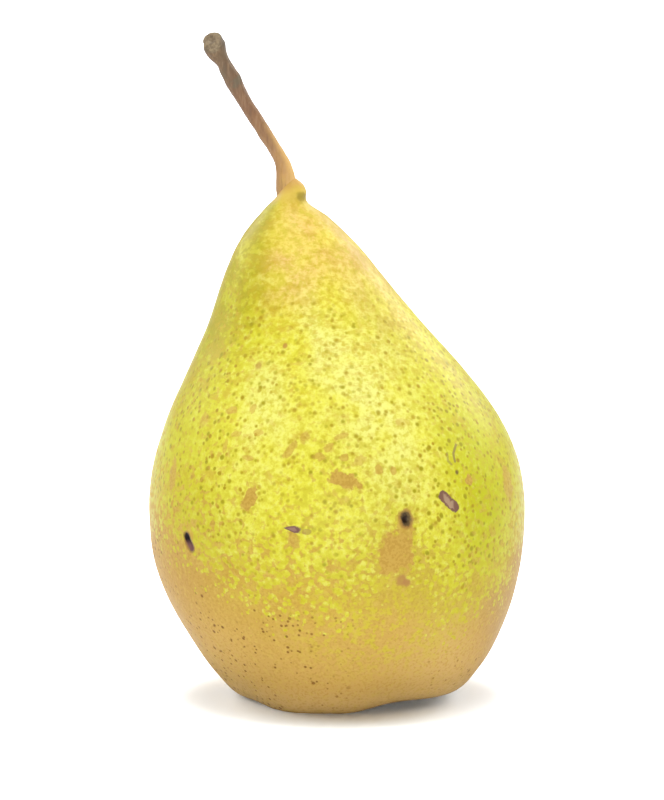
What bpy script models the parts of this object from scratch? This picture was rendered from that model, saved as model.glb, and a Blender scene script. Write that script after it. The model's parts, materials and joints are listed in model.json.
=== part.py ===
"""A ripe dessert pear standing on its base: the fruit, its woody stem and the dried calyx below."""

import math

import bmesh
import bpy
import numpy as np
from mathutils import Matrix, Vector

# ---------------------------------------------------------------- driving dimensions (metres)
MM = 0.001

BELLY_RADIUS = 36.0 * MM        # widest half-breadth, at BELLY_HEIGHT
BELLY_HEIGHT = 35.0 * MM        # above the table
KNOB_HEIGHT = 97.6 * MM         # top of the fleshy knob that holds the stem
KNOB_RADIUS = 2.95 * MM         # outer radius of that knob
BASIN_HEIGHT = 7.6 * MM         # roof of the hollow in the base, above the table
RIM_RADIUS = 20.4 * MM          # ring on which the five base lobes stand
PAD_DEPTH = 0.18 * MM           # how much of each standing lobe is pressed flat

# Five lobes round the base, one for each sepal of the flower, with a groove after each lobe.
# Their directions are in degrees, turned from the front (-Y) towards +X.
LOBE_TURNS = [-18.0, 64.0, 130.0, 200.0, 270.0]
GROOVE_RISES = [1.7 * MM, 1.3 * MM, 1.6 * MM, 1.2 * MM, 0.4 * MM]
LOBE_SWELL = 0.018              # share by which the lobes stand out of the base ring
SHORT_LOBE = 1                  # the lobe that stays clear of the table
SHORT_LOBE_RISE = 1.7 * MM
DEPTH_SHARE = 0.985             # depth (front to back) against breadth (left to right)

STEM_GAP = 0.30 * MM            # clearance between stem and fruit, and calyx and fruit
STEM_ROOT_DEPTH = 4.0 * MM      # how far the stem runs down inside the knob
STEM_RADIUS = 1.18 * MM         # slimmest part of the stem

SEPAL_REACH = 8.2 * MM          # calyx centre to the tip of a sepal
SEPAL_WAIST = 2.6 * MM          # calyx centre to the notch between two sepals
SEPAL_THICKNESS = 0.7 * MM
SEPAL_DROP = 2.6 * MM           # how far a sepal's tip hangs below the roof of the basin

FRUIT_STEPS = 60                # divisions round the fruit
OUTLINE_STEPS = 46              # divisions along its outline

# Outline of the fruit, from the knob down its outer side and up into the basin:
# (height, distance from the core line).
FRUIT_OUTLINE = [
    (KNOB_HEIGHT + 0.35 * MM, 0.0),
    (KNOB_HEIGHT + 0.10 * MM, 0.88 * KNOB_RADIUS),
    (96.2 * MM, 2.95 * MM),
    (94.3 * MM, 4.60 * MM),
    (91.2 * MM, 7.80 * MM),
    (86.6 * MM, 11.60 * MM),
    (80.5 * MM, 15.35 * MM),
    (71.5 * MM, 20.60 * MM),
    (62.0 * MM, 26.80 * MM),
    (51.0 * MM, 32.90 * MM),
    (BELLY_HEIGHT + 6.0 * MM, 0.993 * BELLY_RADIUS),
    (BELLY_HEIGHT - 3.0 * MM, 0.997 * BELLY_RADIUS),
    (22.0 * MM, 34.15 * MM),
    (12.0 * MM, 29.85 * MM),
    (4.0 * MM, 24.95 * MM),
    (-PAD_DEPTH, RIM_RADIUS),
    (1.6 * MM, 13.80 * MM),
    (5.8 * MM, 7.80 * MM),
    (BASIN_HEIGHT, 3.00 * MM),
    (BASIN_HEIGHT, 0.0),
]

# The core line of the fruit: (height, sideways shift). The neck leans to the left.
CORE_LINE = [
    (0.0 * MM, 2.8 * MM),
    (10.0 * MM, 2.0 * MM),
    (20.0 * MM, 0.8 * MM),
    (35.0 * MM, 0.0 * MM),
    (52.0 * MM, -0.5 * MM),
    (62.0 * MM, -1.9 * MM),
    (74.0 * MM, -4.7 * MM),
    (84.0 * MM, -7.0 * MM),
    (KNOB_HEIGHT, -9.0 * MM),
]

# The stem from its buried root to its cut end: (x, y, z, radius as a share of STEM_RADIUS).
STEM_PATH = [
    (-8.7 * MM, 0.0 * MM, KNOB_HEIGHT - STEM_ROOT_DEPTH, 1.45),
    (-9.0 * MM, 0.0 * MM, 97.6 * MM, 1.80),
    (-9.6 * MM, 0.1 * MM, 100.4 * MM, 1.48),
    (-10.8 * MM, 0.3 * MM, 103.6 * MM, 1.12),
    (-13.8 * MM, 0.6 * MM, 108.4 * MM, 1.04),
    (-17.2 * MM, 0.7 * MM, 113.8 * MM, 0.98),
    (-19.6 * MM, 0.5 * MM, 118.0 * MM, 1.10),
    (-21.6 * MM, 0.2 * MM, 121.8 * MM, 1.06),
    (-23.1 * MM, 0.0 * MM, 124.8 * MM, 1.45),
    (-24.0 * MM, -0.1 * MM, 127.1 * MM, 1.10),
]


# ---------------------------------------------------------------- helpers
def empty_the_file():
    for thing in list(bpy.data.objects):
        bpy.data.objects.remove(thing, do_unlink=True)
    for group in list(bpy.data.collections):
        bpy.data.collections.remove(group)


def new_collection(name):
    group = bpy.data.collections.new(name)
    bpy.context.scene.collection.children.link(group)
    return group


def new_material(name, colour, roughness):
    material = bpy.data.materials.new(name)
    material.use_nodes = True
    surface = material.node_tree.nodes["Principled BSDF"]
    surface.inputs["Base Color"].default_value = (*colour, 1.0)
    surface.inputs["Roughness"].default_value = roughness
    surface.inputs["Metallic"].default_value = 0.0
    material.diffuse_color = (*colour, 1.0)
    return material


def baked(thing):
    """The mesh of an object with its modifiers worked in."""
    bpy.context.view_layer.update()
    graph = bpy.context.evaluated_depsgraph_get()
    return bpy.data.meshes.new_from_object(thing.evaluated_get(graph))


def welded(mesh):
    """Join the loose end caps of a bar to its side, with every face turned outwards."""
    work = bmesh.new()
    work.from_mesh(mesh)
    bmesh.ops.remove_doubles(work, verts=work.verts[:], dist=0.001 * MM)
    bmesh.ops.recalc_face_normals(work, faces=work.faces[:])
    work.to_mesh(mesh)
    work.free()
    return mesh


def new_object(name, mesh, collection):
    thing = bpy.data.objects.new(name, mesh)
    collection.objects.link(thing)
    return thing


def curve_through(name, points, radii, collection):
    """A smooth bezier curve through points, with a radius at each."""
    curve = bpy.data.curves.new(name, "CURVE")
    curve.dimensions = "3D"
    spline = curve.splines.new("BEZIER")
    spline.bezier_points.add(len(points) - 1)
    for knot, place, radius in zip(spline.bezier_points, points, radii):
        knot.co = place
        knot.radius = radius
        knot.handle_left_type = "AUTO"
        knot.handle_right_type = "AUTO"
    return new_object(name, curve, collection)


def smooth_through(points, heights):
    """Cubic curve (natural spline) through (height, value) points, read at the given heights."""
    knots = np.array(points)
    x, y = knots[:, 0], knots[:, 1]
    step = np.diff(x)
    size = len(x)
    grid = np.eye(size)
    slope = np.zeros(size)
    for i in range(1, size - 1):
        grid[i, i - 1] = step[i - 1]
        grid[i, i] = 2.0 * (step[i - 1] + step[i])
        grid[i, i + 1] = step[i]
        slope[i] = 6.0 * ((y[i + 1] - y[i]) / step[i] - (y[i] - y[i - 1]) / step[i - 1])
    bend = np.linalg.solve(grid, slope)
    at = np.clip(heights, x[0], x[-1])
    i = np.clip(np.searchsorted(x, at) - 1, 0, size - 2)
    a = (x[i + 1] - at) / step[i]
    b = (at - x[i]) / step[i]
    cubic = ((a ** 3 - a) * bend[i] + (b ** 3 - b) * bend[i + 1]) * step[i] ** 2 / 6.0
    return a * y[i] + b * y[i + 1] + cubic


def fade(low, high, value):
    """0 below low, 1 above high, smooth between."""
    t = np.clip((value - low) / (high - low), 0.0, 1.0)
    return t * t * (3.0 - 2.0 * t)


# ---------------------------------------------------------------- fruit
def turned_fruit(workshop):
    """The outline as a bezier, cut to even pieces and turned round the core line."""
    places = [Vector((reach, 0.0, height)) for height, reach in FRUIT_OUTLINE]
    outline = curve_through("fruit_outline", places, [1.0] * len(places), workshop)
    outline.data.resolution_u = 24
    fine = baked(outline)
    line = np.array([vert.co[:] for vert in fine.vertices])
    run = np.concatenate([[0.0], np.cumsum(np.linalg.norm(np.diff(line, axis=0), axis=1))])
    stops = np.linspace(0.0, run[-1], OUTLINE_STEPS + 1)
    even = np.column_stack([np.interp(stops, run, line[:, axis]) for axis in range(3)])
    even[0, 0] = 0.0
    even[-1, 0] = 0.0
    mesh = bpy.data.meshes.new("fruit_outline")
    edges = [(i, i + 1) for i in range(OUTLINE_STEPS)]
    mesh.from_pydata(even.tolist(), edges, [])
    turned = new_object("fruit_turned", mesh, workshop)
    screw = turned.modifiers.new("turn", "SCREW")
    screw.axis = "Z"
    screw.angle = 2.0 * math.pi
    screw.steps = FRUIT_STEPS
    screw.render_steps = FRUIT_STEPS
    screw.use_merge_vertices = True
    screw.merge_threshold = 0.00001
    screw.use_normal_calculate = True
    return baked(turned)


def lobe_phase(turn):
    """Turn round the fruit counted in lobes: a whole number in each groove, halves on the lobes."""
    lobes = np.array(LOBE_TURNS + [LOBE_TURNS[0] + 360.0])
    grooves = np.radians(0.5 * (lobes[:-1] + lobes[1:]))
    marks = np.concatenate([grooves[-1:] - 2.0 * math.pi, grooves, grooves[:1] + 2.0 * math.pi])
    counts = np.arange(-1.0, len(grooves) + 1.0)
    around = (turn - marks[0]) % (2.0 * math.pi) + marks[0]
    return np.interp(around, marks, counts) % len(grooves)


def grow_fruit(mesh):
    """Give the turned body its lobes, its leaning neck and its slightly uneven roundness."""
    place = np.array([vert.co[:] for vert in mesh.vertices])
    x, y, z = place.T
    reach = np.hypot(x, y)
    turn = np.arctan2(x, -y)
    phase = lobe_phase(turn)
    wave = -np.cos(2.0 * math.pi * phase)
    low = 1.0 - fade(2.0 * MM, 24.0 * MM, z)
    swell = LOBE_SWELL * wave * low * fade(4.0 * MM, 16.0 * MM, reach)
    uneven = 0.006 * np.cos(3.0 * turn + 0.9) * fade(20.0 * MM, 45.0 * MM, z)
    uneven = uneven * (1.0 - fade(80.0 * MM, 93.0 * MM, z))
    grown = 1.0 + swell + uneven
    under = (1.0 - fade(0.0 * MM, 13.0 * MM, z)) * fade(3.0 * MM, 14.0 * MM, reach)
    groove = (0.5 - 0.5 * wave) ** 2
    depths = np.array(GROOVE_RISES)[np.round(phase).astype(int) % len(GROOVE_RISES)]
    rise = depths * groove * under
    short_turn = math.radians(LOBE_TURNS[SHORT_LOBE])
    beside = np.abs((turn - short_turn + math.pi) % (2.0 * math.pi) - math.pi)
    rise = rise + SHORT_LOBE_RISE * (1.0 - fade(0.25, 0.80, beside)) * under
    shift = smooth_through(CORE_LINE, z)
    mesh.vertices.foreach_set("co", np.column_stack([
        x * grown + shift,
        y * grown * DEPTH_SHARE,
        z + rise,
    ]).ravel())
    mesh.update()


def press_flat(mesh):
    """Cut the standing lobes off level at the table: small flat pads the pear rests on."""
    work = bmesh.new()
    work.from_mesh(mesh)
    every = work.verts[:] + work.edges[:] + work.faces[:]
    cut = bmesh.ops.bisect_plane(work, geom=every, dist=1e-7, plane_co=(0.0, 0.0, 0.0),
                                 plane_no=(0.0, 0.0, -1.0), clear_outer=True)
    rim = [item for item in cut["geom_cut"] if isinstance(item, bmesh.types.BMEdge)]
    bmesh.ops.edgeloop_fill(work, edges=rim)
    bmesh.ops.recalc_face_normals(work, faces=work.faces[:])
    work.to_mesh(mesh)
    work.free()


def make_fruit(workshop, collection, socket):
    mesh = turned_fruit(workshop)
    grow_fruit(mesh)
    press_flat(mesh)
    fruit = new_object("fruit", mesh, collection)
    drill = fruit.modifiers.new("socket", "BOOLEAN")
    drill.operation = "DIFFERENCE"
    drill.solver = "EXACT"
    drill.object = socket
    return fruit


# ---------------------------------------------------------------- stem
def round_bar(name, points, radii, collection):
    bar = curve_through(name, points, radii, collection)
    bar.data.bevel_depth = 1.0
    bar.data.bevel_resolution = 6
    bar.data.resolution_u = 5
    bar.data.use_fill_caps = True
    return bar


def make_stem(workshop, collection):
    points = [Vector(knot[:3]) for knot in STEM_PATH]
    radii = [knot[3] * STEM_RADIUS for knot in STEM_PATH]
    bar = round_bar("stem_bar", points, radii, workshop)
    stem = new_object("stem", welded(baked(bar)), collection)
    worn = stem.modifiers.new("worn_edges", "BEVEL")
    worn.width = 0.3 * MM
    worn.segments = 3
    worn.limit_method = "ANGLE"
    worn.angle_limit = math.radians(50)
    return stem


def make_socket(workshop):
    """The hole the stem stands in: the root of the stem, wider all round by the clearance."""
    root = STEM_PATH[:3]
    points = [Vector(knot[:3]) for knot in root]
    radii = [knot[3] * STEM_RADIUS + STEM_GAP for knot in root]
    points[0] = points[0] - Vector((0.0, 0.0, STEM_GAP))
    socket = round_bar("socket_bar", points, radii, workshop)
    cutter = new_object("socket_cutter", welded(baked(socket)), workshop)
    cutter.hide_render = True
    cutter.display_type = "WIRE"
    return cutter


# ---------------------------------------------------------------- calyx
def make_calyx(collection):
    """Five dried sepals spreading from a small withered disc, one closed body."""
    roof = BASIN_HEIGHT - 2.0 * STEM_GAP - 0.5 * SEPAL_THICKNESS
    sides = 2 * len(LOBE_TURNS)
    middle = smooth_through(CORE_LINE, np.array([BASIN_HEIGHT]))[0]
    work = bmesh.new()
    rings = []
    for tip_reach, notch_reach, tip_drop in (
        (0.9 * MM, 0.9 * MM, 0.0),
        (3.0 * MM, SEPAL_WAIST, 0.1 * MM),
        (5.8 * MM, 1.25 * SEPAL_WAIST, 1.1 * MM),
        (SEPAL_REACH, 1.35 * SEPAL_WAIST, SEPAL_DROP),
    ):
        circle = bmesh.ops.create_circle(work, cap_ends=False, segments=sides, radius=1.0)
        for place, vert in enumerate(circle["verts"]):
            turn = math.radians(LOBE_TURNS[0] + place * 360.0 / sides)
            tip = place % 2 == 0
            reach = tip_reach if tip else notch_reach
            height = roof - (tip_drop if tip else 0.35 * tip_drop)
            vert.co = (middle + reach * math.sin(turn), -reach * math.cos(turn), height)
        rings.append(circle["verts"])
    edges = [edge for edge in work.edges]
    bmesh.ops.contextual_create(work, geom=rings[0])
    for inner, outer in zip(rings, rings[1:]):
        loops = [edge for edge in edges if all(vert in inner for vert in edge.verts)]
        loops += [edge for edge in edges if all(vert in outer for vert in edge.verts)]
        bmesh.ops.bridge_loops(work, edges=loops)
    bmesh.ops.recalc_face_normals(work, faces=work.faces[:])
    sheet = bpy.data.meshes.new("calyx")
    work.to_mesh(sheet)
    work.free()
    calyx = new_object("calyx", sheet, collection)
    flesh = calyx.modifiers.new("thickness", "SOLIDIFY")
    flesh.thickness = SEPAL_THICKNESS
    flesh.offset = 0.0
    rounded = calyx.modifiers.new("rounded", "SUBSURF")
    rounded.levels = 1
    rounded.render_levels = 1
    return calyx


# ---------------------------------------------------------------- assembly
def stand_over_origin(pieces, leader):
    """Slide everything level so that the leader's box is centred over the origin."""
    spread = np.array([vert.co[:2] for vert in leader.data.vertices])
    middle = 0.5 * (spread.min(axis=0) + spread.max(axis=0))
    for piece in pieces:
        piece.data.transform(Matrix.Translation((-middle[0], -middle[1], 0.0)))


def main():
    empty_the_file()
    workshop = new_collection("workshop")
    pear = new_collection("pear")

    socket = make_socket(workshop)
    fruit = make_fruit(workshop, pear, socket)
    stem = make_stem(workshop, pear)
    calyx = make_calyx(pear)
    stand_over_origin([fruit, stem, calyx, socket], fruit)

    fruit.data.materials.append(new_material("pear_skin", (0.77, 0.68, 0.11), 0.42))
    stem.data.materials.append(new_material("pear_stem", (0.28, 0.16, 0.09), 0.75))
    calyx.data.materials.append(new_material("dried_calyx", (0.09, 0.05, 0.03), 0.85))

    for piece in (fruit, stem, calyx):
        piece.data.shade_smooth()
        piece.data.set_sharp_from_angle(angle=math.radians(40))
    for helper in list(workshop.objects):
        if helper is not socket:
            bpy.data.objects.remove(helper, do_unlink=True)


main()
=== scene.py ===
# %% [markdown]
# # A ripe pear, dressed over its solid model
#
# The solid model of the pear is already made: one body of flesh, a stem and a dried calyx. Here each of
# the three gets the fine surface that the eye expects. The solids stay where they are, and every size
# below is measured from them, so the dressed pear and the solid pear always agree.

# %% Load the solid model
import json
import math

import bmesh
import bpy
import numpy as np
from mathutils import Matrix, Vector
from mathutils.bvhtree import BVHTree
from mathutils.noise import noise as hill

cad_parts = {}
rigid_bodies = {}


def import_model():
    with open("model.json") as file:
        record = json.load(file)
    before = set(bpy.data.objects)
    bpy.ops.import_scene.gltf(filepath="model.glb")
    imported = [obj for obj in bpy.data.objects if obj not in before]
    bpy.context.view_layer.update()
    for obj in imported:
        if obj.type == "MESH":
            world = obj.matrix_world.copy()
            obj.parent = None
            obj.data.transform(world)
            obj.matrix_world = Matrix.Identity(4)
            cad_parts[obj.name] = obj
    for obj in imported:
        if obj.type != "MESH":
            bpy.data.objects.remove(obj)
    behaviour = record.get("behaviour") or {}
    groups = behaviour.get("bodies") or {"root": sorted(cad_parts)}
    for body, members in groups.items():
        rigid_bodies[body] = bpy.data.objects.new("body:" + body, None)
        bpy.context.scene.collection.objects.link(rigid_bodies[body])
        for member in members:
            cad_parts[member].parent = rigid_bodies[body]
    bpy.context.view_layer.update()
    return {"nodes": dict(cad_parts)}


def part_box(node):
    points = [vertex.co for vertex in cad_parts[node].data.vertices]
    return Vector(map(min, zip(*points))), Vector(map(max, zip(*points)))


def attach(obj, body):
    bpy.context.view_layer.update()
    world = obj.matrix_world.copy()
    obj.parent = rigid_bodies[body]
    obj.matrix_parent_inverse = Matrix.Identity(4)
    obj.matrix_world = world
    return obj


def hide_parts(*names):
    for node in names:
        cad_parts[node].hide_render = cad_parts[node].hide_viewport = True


for leftover in list(bpy.data.objects):
    bpy.data.objects.remove(leftover)
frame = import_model()
MM = 0.001
print("solids:", sorted(frame["nodes"]))

# %% [markdown]
# ## Arithmetic that works on meshes and on materials
#
# A blemish on the skin is both a dent and a change of colour, and the two must meet exactly. So its
# shape is written once, as a Python expression. Given arrays of numbers, the expression moves the
# vertices of the mesh. Given sockets of a material, the same expression builds its nodes. The class
# below wraps a socket and turns each operator into a Math node.


# %% A socket that can be calculated with
class Value:
    def __init__(self, finish, socket):
        self.finish = finish
        self.socket = socket

    def math(self, operation, first, second=None):
        inputs = [first] if second is None else [first, second]
        return self.finish.node("ShaderNodeMath", {"operation": operation}, inputs)[0]

    def __add__(self, other):
        return self.math("ADD", self, other)

    __radd__ = __add__

    def __sub__(self, other):
        return self.math("SUBTRACT", self, other)

    def __rsub__(self, other):
        return self.math("SUBTRACT", other, self)

    def __mul__(self, other):
        return self.math("MULTIPLY", self, other)

    __rmul__ = __mul__

    def __truediv__(self, other):
        return self.math("DIVIDE", self, other)

    def __rtruediv__(self, other):
        return self.math("DIVIDE", other, self)

    def __pow__(self, other):
        return self.math("POWER", self, other)

    def __abs__(self):
        return self.math("ABSOLUTE", self)


# %% A material under construction
class Finish:
    """A material with a Principled surface. Every node is added by the one method below."""

    def __init__(self, name, **surface):
        self.material = bpy.data.materials.new(name)
        self.material.use_nodes = True
        self.tree = self.material.node_tree
        self.surface = self.tree.nodes["Principled BSDF"]
        for socket, value in surface.items():
            self.surface.inputs[socket.replace("_", " ")].default_value = value

    def node(self, kind, settings=None, inputs=()):
        """Add a node, set it up, feed its sockets, and return its outputs as Values."""
        node = self.tree.nodes.new(kind)
        for name, value in (settings or {}).items():
            if name == "stops":
                ramp = node.color_ramp
                while len(ramp.elements) < len(value):
                    ramp.elements.new(1.0)
                for element, (place, colour) in zip(ramp.elements, value):
                    element.position = place
                    element.color = colour
            else:
                setattr(node, name, value)
        pairs = inputs.items() if isinstance(inputs, dict) else enumerate(inputs)
        for key, value in pairs:
            self.feed(node.inputs[key], value)
        return [Value(self, socket) for socket in node.outputs if socket.enabled]

    def feed(self, socket, value):
        if isinstance(value, Value):
            self.tree.links.new(value.socket, socket)
        else:
            socket.default_value = value

    def put(self, socket, value):
        self.feed(self.surface.inputs[socket], value)

    def blend(self, share, first, second):
        """Colour that goes from first to second as share goes from 0 to 1."""
        settings = {"data_type": "RGBA", "blend_type": "MIX"}
        inputs = {"Factor": share, 6: first, 7: second}
        return self.node("ShaderNodeMix", settings, inputs)[0]

    def coat(self, base, *layers):
        """Lay colours over a base, one over the other: each layer is a share and a colour."""
        for share, colour in layers:
            upper = colour if isinstance(colour, Value) else paint(*colour)
            base = self.blend(share, base, upper)
        return base

    def relief(self, height, strength=1.0):
        """Let the surface rise and fall by height, in millimetres, where the mesh is too coarse."""
        inputs = {"Strength": strength, "Distance": MM, "Height": height}
        self.put("Normal", self.node("ShaderNodeBump", {}, inputs)[0])

    def place(self):
        """Position on the piece in millimetres."""
        here = self.node("ShaderNodeTexCoord")[3]
        return self.vector("MULTIPLY", here, (1000.0, 1000.0, 1000.0))

    def vector(self, operation, first, second):
        return self.node("ShaderNodeVectorMath", {"operation": operation}, [first, second])[0]

    def dot(self, first, second):
        settings = {"operation": "DOT_PRODUCT"}
        outputs = self.node("ShaderNodeVectorMath", settings, [first, second])
        return outputs[-1]

    def axes(self, place):
        return self.node("ShaderNodeSeparateXYZ", {}, [place])

    def noise(self, place, size, detail=2.0, roughness=0.5, stretch=(1.0, 1.0, 1.0)):
        """Cloudy noise from 0 to 1 whose patches are about size millimetres across."""
        scaled = self.vector("MULTIPLY", place, tuple(share / size for share in stretch))
        inputs = {"Vector": scaled, "Scale": 1.0, "Detail": detail, "Roughness": roughness}
        return self.node("ShaderNodeTexNoise", {"noise_dimensions": "3D"}, inputs)[0]

    def cells(self, place, size):
        """Distance to scattered points about size millimetres apart, and a random number for each."""
        scaled = self.vector("MULTIPLY", place, (1.0 / size,) * 3)
        outputs = self.node("ShaderNodeTexVoronoi", {"feature": "F1"}, {"Vector": scaled, "Scale": 1.0})
        random = self.node("ShaderNodeSeparateColor", {}, [outputs[1]])
        return outputs[0] * size, random[0], random[1]

    def painted(self, name):
        """A number that was painted on the vertices."""
        return self.node("ShaderNodeAttribute", {"attribute_name": name})[2]


# %% Functions for both kinds of argument
def ease(low, high, value):
    """0 below low, 1 above high and smooth between; low may be above high."""
    if isinstance(value, Value):
        settings = {"interpolation_type": "SMOOTHSTEP"}
        inputs = {"Value": value, "From Min": low, "From Max": high}
        return value.finish.node("ShaderNodeMapRange", settings, inputs)[0]
    share = np.clip((value - low) / (high - low), 0.0, 1.0)
    return share * share * (3.0 - 2.0 * share)


def root(value):
    return value.math("SQRT", value) if isinstance(value, Value) else np.sqrt(value)


def lesser(first, second):
    if isinstance(first, Value):
        return first.math("MINIMUM", first, second)
    return np.minimum(first, second)


def greater(first, second):
    if isinstance(first, Value):
        return first.math("MAXIMUM", first, second)
    return np.maximum(first, second)


LIGHT_SHARE = 0.43    # what a colour seen in this bright light is multiplied by
SHEEN = 0.012         # the white sheen on it, taken off first
DARKEST = 0.003


def paint(red, green, blue):
    """A colour as it looks on the brightly lit pear, turned into the linear colour of the surface."""
    parts = []
    for part in (red / 255.0, green / 255.0, blue / 255.0):
        linear = part / 12.92 if part < 0.04045 else ((part + 0.055) / 1.055) ** 2.4
        parts.append(max((linear - SHEEN) * LIGHT_SHARE, DARKEST))
    return (*parts, 1.0)


print("half way:", ease(0.0, 1.0, np.array([0.25, 0.5])))

# %% [markdown]
# ## Measuring the solids
#
# The skin is laid over the solid flesh as a fine net, so first come two ways of measuring a solid: the
# middle of a level slice through it, and the point where a straight ray meets it.


# %% Slices and rays
class Solid:
    def __init__(self, node):
        mesh = frame["nodes"][node].data
        self.points = np.array([vert.co[:] for vert in mesh.vertices]) / MM
        self.edges = np.array([edge.vertices[:] for edge in mesh.edges])
        polygons = [tuple(face.vertices) for face in mesh.polygons]
        self.tree = BVHTree.FromPolygons([Vector(point) for point in self.points], polygons)

    def slice(self, height):
        """Middle and half breadth (left to right, front to back) of a level slice."""
        ends = self.points[self.edges]
        rise = ends[:, 1, 2] - ends[:, 0, 2]
        share = (height - ends[:, 0, 2]) / np.where(np.abs(rise) < 1e-9, 1e-9, rise)
        cut = (share >= 0.0) & (share <= 1.0) & (np.abs(rise) > 1e-9)
        hits = ends[cut, 0] + share[cut, None] * (ends[cut, 1] - ends[cut, 0])
        low, high = hits.min(axis=0), hits.max(axis=0)
        return 0.5 * (low + high)[:2], 0.5 * (high - low)[:2]

    def hit(self, start, direction):
        return self.tree.ray_cast(Vector(start), Vector(direction))[0]


flesh = Solid("fruit")
stalk = Solid("stem")
levels = np.linspace(1.0, 97.0, 97)
middles = np.array([flesh.slice(level)[0] for level in levels])
for level in (10, 35, 60, 90):
    middle, half = flesh.slice(float(level))
    print(f"flesh at {level} mm: middle {middle.round(1)}, half breadth {half.round(1)}")


# %% [markdown]
# ## The net of skin
#
# A pear's skin has no seams, so its mesh should have none that show either. The net has one line for
# each of many directions round the core, running from the knob under the stem, over the belly, round
# the base lobes and up into the hollow of the base. Every crossing is found by shooting a ray from
# outside onto the solid. Level rays serve the sides, a fan of rays turns round the base lobes, and
# upright rays reach into the hollow.

# %% Rays from outside, all round the fruit
AROUND = 448
ALONG = 190
KNOB_START = 94.3      # below this height the skin follows the solid, above it the knob is shaped here
PIVOT_HEIGHT = 12.0    # the fan of rays turns on a ring of this height and radius
PIVOT_REACH = 14.0
HOLLOW_HEIGHT = 5.0    # the core line ends at this height
OUTSIDE = 60.0         # level rays start this far from the core
FAN_OUTSIDE = 40.0
UNDERSIDE = -20.0      # upright rays start at this height
turns = np.arange(AROUND) * 2.0 * math.pi / AROUND - math.pi
outward = np.column_stack([np.sin(turns), -np.cos(turns), np.zeros(AROUND)])


def core(height):
    """The core line of the fruit: the middle of its slices."""
    x = np.interp(height, levels, middles[:, 0])
    y = np.interp(height, levels, middles[:, 1])
    return np.stack([x, y, np.asarray(height, dtype=float)], axis=-1)


def lay(step, out):
    """Where the net's line in direction out meets the flesh; step runs from 0 to 3 along the line."""
    if step <= 1.0:
        middle = core(KNOB_START + step * (PIVOT_HEIGHT - KNOB_START))
        start, way = middle + OUTSIDE * out, -out
    elif step <= 2.0:
        slope = (step - 1.0) * 0.5 * math.pi
        way = out * math.cos(slope) + np.array([0.0, 0.0, -math.sin(slope)])
        start = core(PIVOT_HEIGHT) + PIVOT_REACH * out + FAN_OUTSIDE * way
        way = -way
    else:
        reach = PIVOT_REACH * max(3.0 - step, 1e-4)
        middle = core(PIVOT_HEIGHT + (step - 2.0) * (HOLLOW_HEIGHT - PIVOT_HEIGHT))
        start = np.array([*middle[:2], UNDERSIDE]) + reach * out
        way = np.array([0.0, 0.0, 1.0])
    return flesh.hit(start, way)


def even_steps(count):
    """Steps at equal distances along the line, so that the net's meshes are all about one size."""
    steps = np.linspace(0.0, 3.0, 700)
    total = np.zeros(len(steps))
    for out in outward[:: AROUND // 8]:
        line = np.array([lay(step, out)[:] for step in steps])
        total[1:] += np.linalg.norm(np.diff(line, axis=0), axis=1)
    run = np.cumsum(total)
    return np.interp(np.linspace(0.0, run[-1], count), run, steps)


net = np.array([[lay(step, out)[:] for out in outward] for step in even_steps(ALONG)])
print("net of rays:", net.shape[:2], "lowest", round(net[..., 2].min(), 2), "mm")

# %% [markdown]
# The solid has flat facets a few millimetres wide, and the net copies them. Averaging each crossing
# with its neighbours melts the facets away. An average also shrinks what it smooths, so the loss is
# measured with a second average and given back.


# %% Melting the facets
def bell(width):
    reach = int(3 * width) + 1
    weights = np.exp(-0.5 * (np.arange(-reach, reach + 1) / width) ** 2)
    return weights / weights.sum()


def average(grid, width, axis, closed):
    weights = bell(width)
    reach = len(weights) // 2
    pad = [(0, 0)] * grid.ndim
    pad[axis] = (reach, reach)
    if closed:
        padded = np.pad(grid, pad, mode="wrap")
    else:
        padded = np.pad(grid, pad, mode="reflect", reflect_type="odd")
    size = grid.shape[axis]
    parts = [w * np.take(padded, range(k, k + size), axis=axis) for k, w in enumerate(weights)]
    return sum(parts)


def melt(grid, around, along):
    once = average(average(grid, around, 1, True), along, 0, False)
    twice = average(average(once, around, 1, True), along, 0, False)
    return 2.0 * once - twice


smooth_net = melt(net, 4.5, 2.6)
moved = np.linalg.norm(smooth_net - net, axis=2)
print("facets melted: crossings moved by", round(moved.mean(), 3), "mm on average")

# %% [markdown]
# ## Where the stem leaves the fruit
#
# On a pear the flesh does not stop at a line: it thins out and climbs a little way up the stem, higher
# on one side. The net is therefore carried on above the solid knob. Each further ring is centred on
# the stem and drawn in towards it, until the last ring lies inside the wood.

# %% The line of the stem
STEM_TOP = 127.0
stem_levels = np.linspace(94.2, STEM_TOP, 90)
cuts = [stalk.slice(level) for level in stem_levels]
stem_line = np.array([[*cut[0], level] for cut, level in zip(cuts, stem_levels)])
stem_girth = np.array([cut[1][1] for cut in cuts])
root_share = 1.0 - ease(97.5, 103.5, stem_levels)
stem_line[:, 0] -= 0.75 * root_share
stem_girth *= 1.0 - 0.16 * root_share


def stem_at(height):
    middle = [np.interp(height, stem_levels, stem_line[:, axis]) for axis in (0, 1)]
    return np.stack([*middle, height], axis=-1), np.interp(height, stem_levels, stem_girth)


print("stem leaves the flesh at x =", round(float(stem_at(np.array(98.0))[0][0]), 2), "mm")

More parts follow.
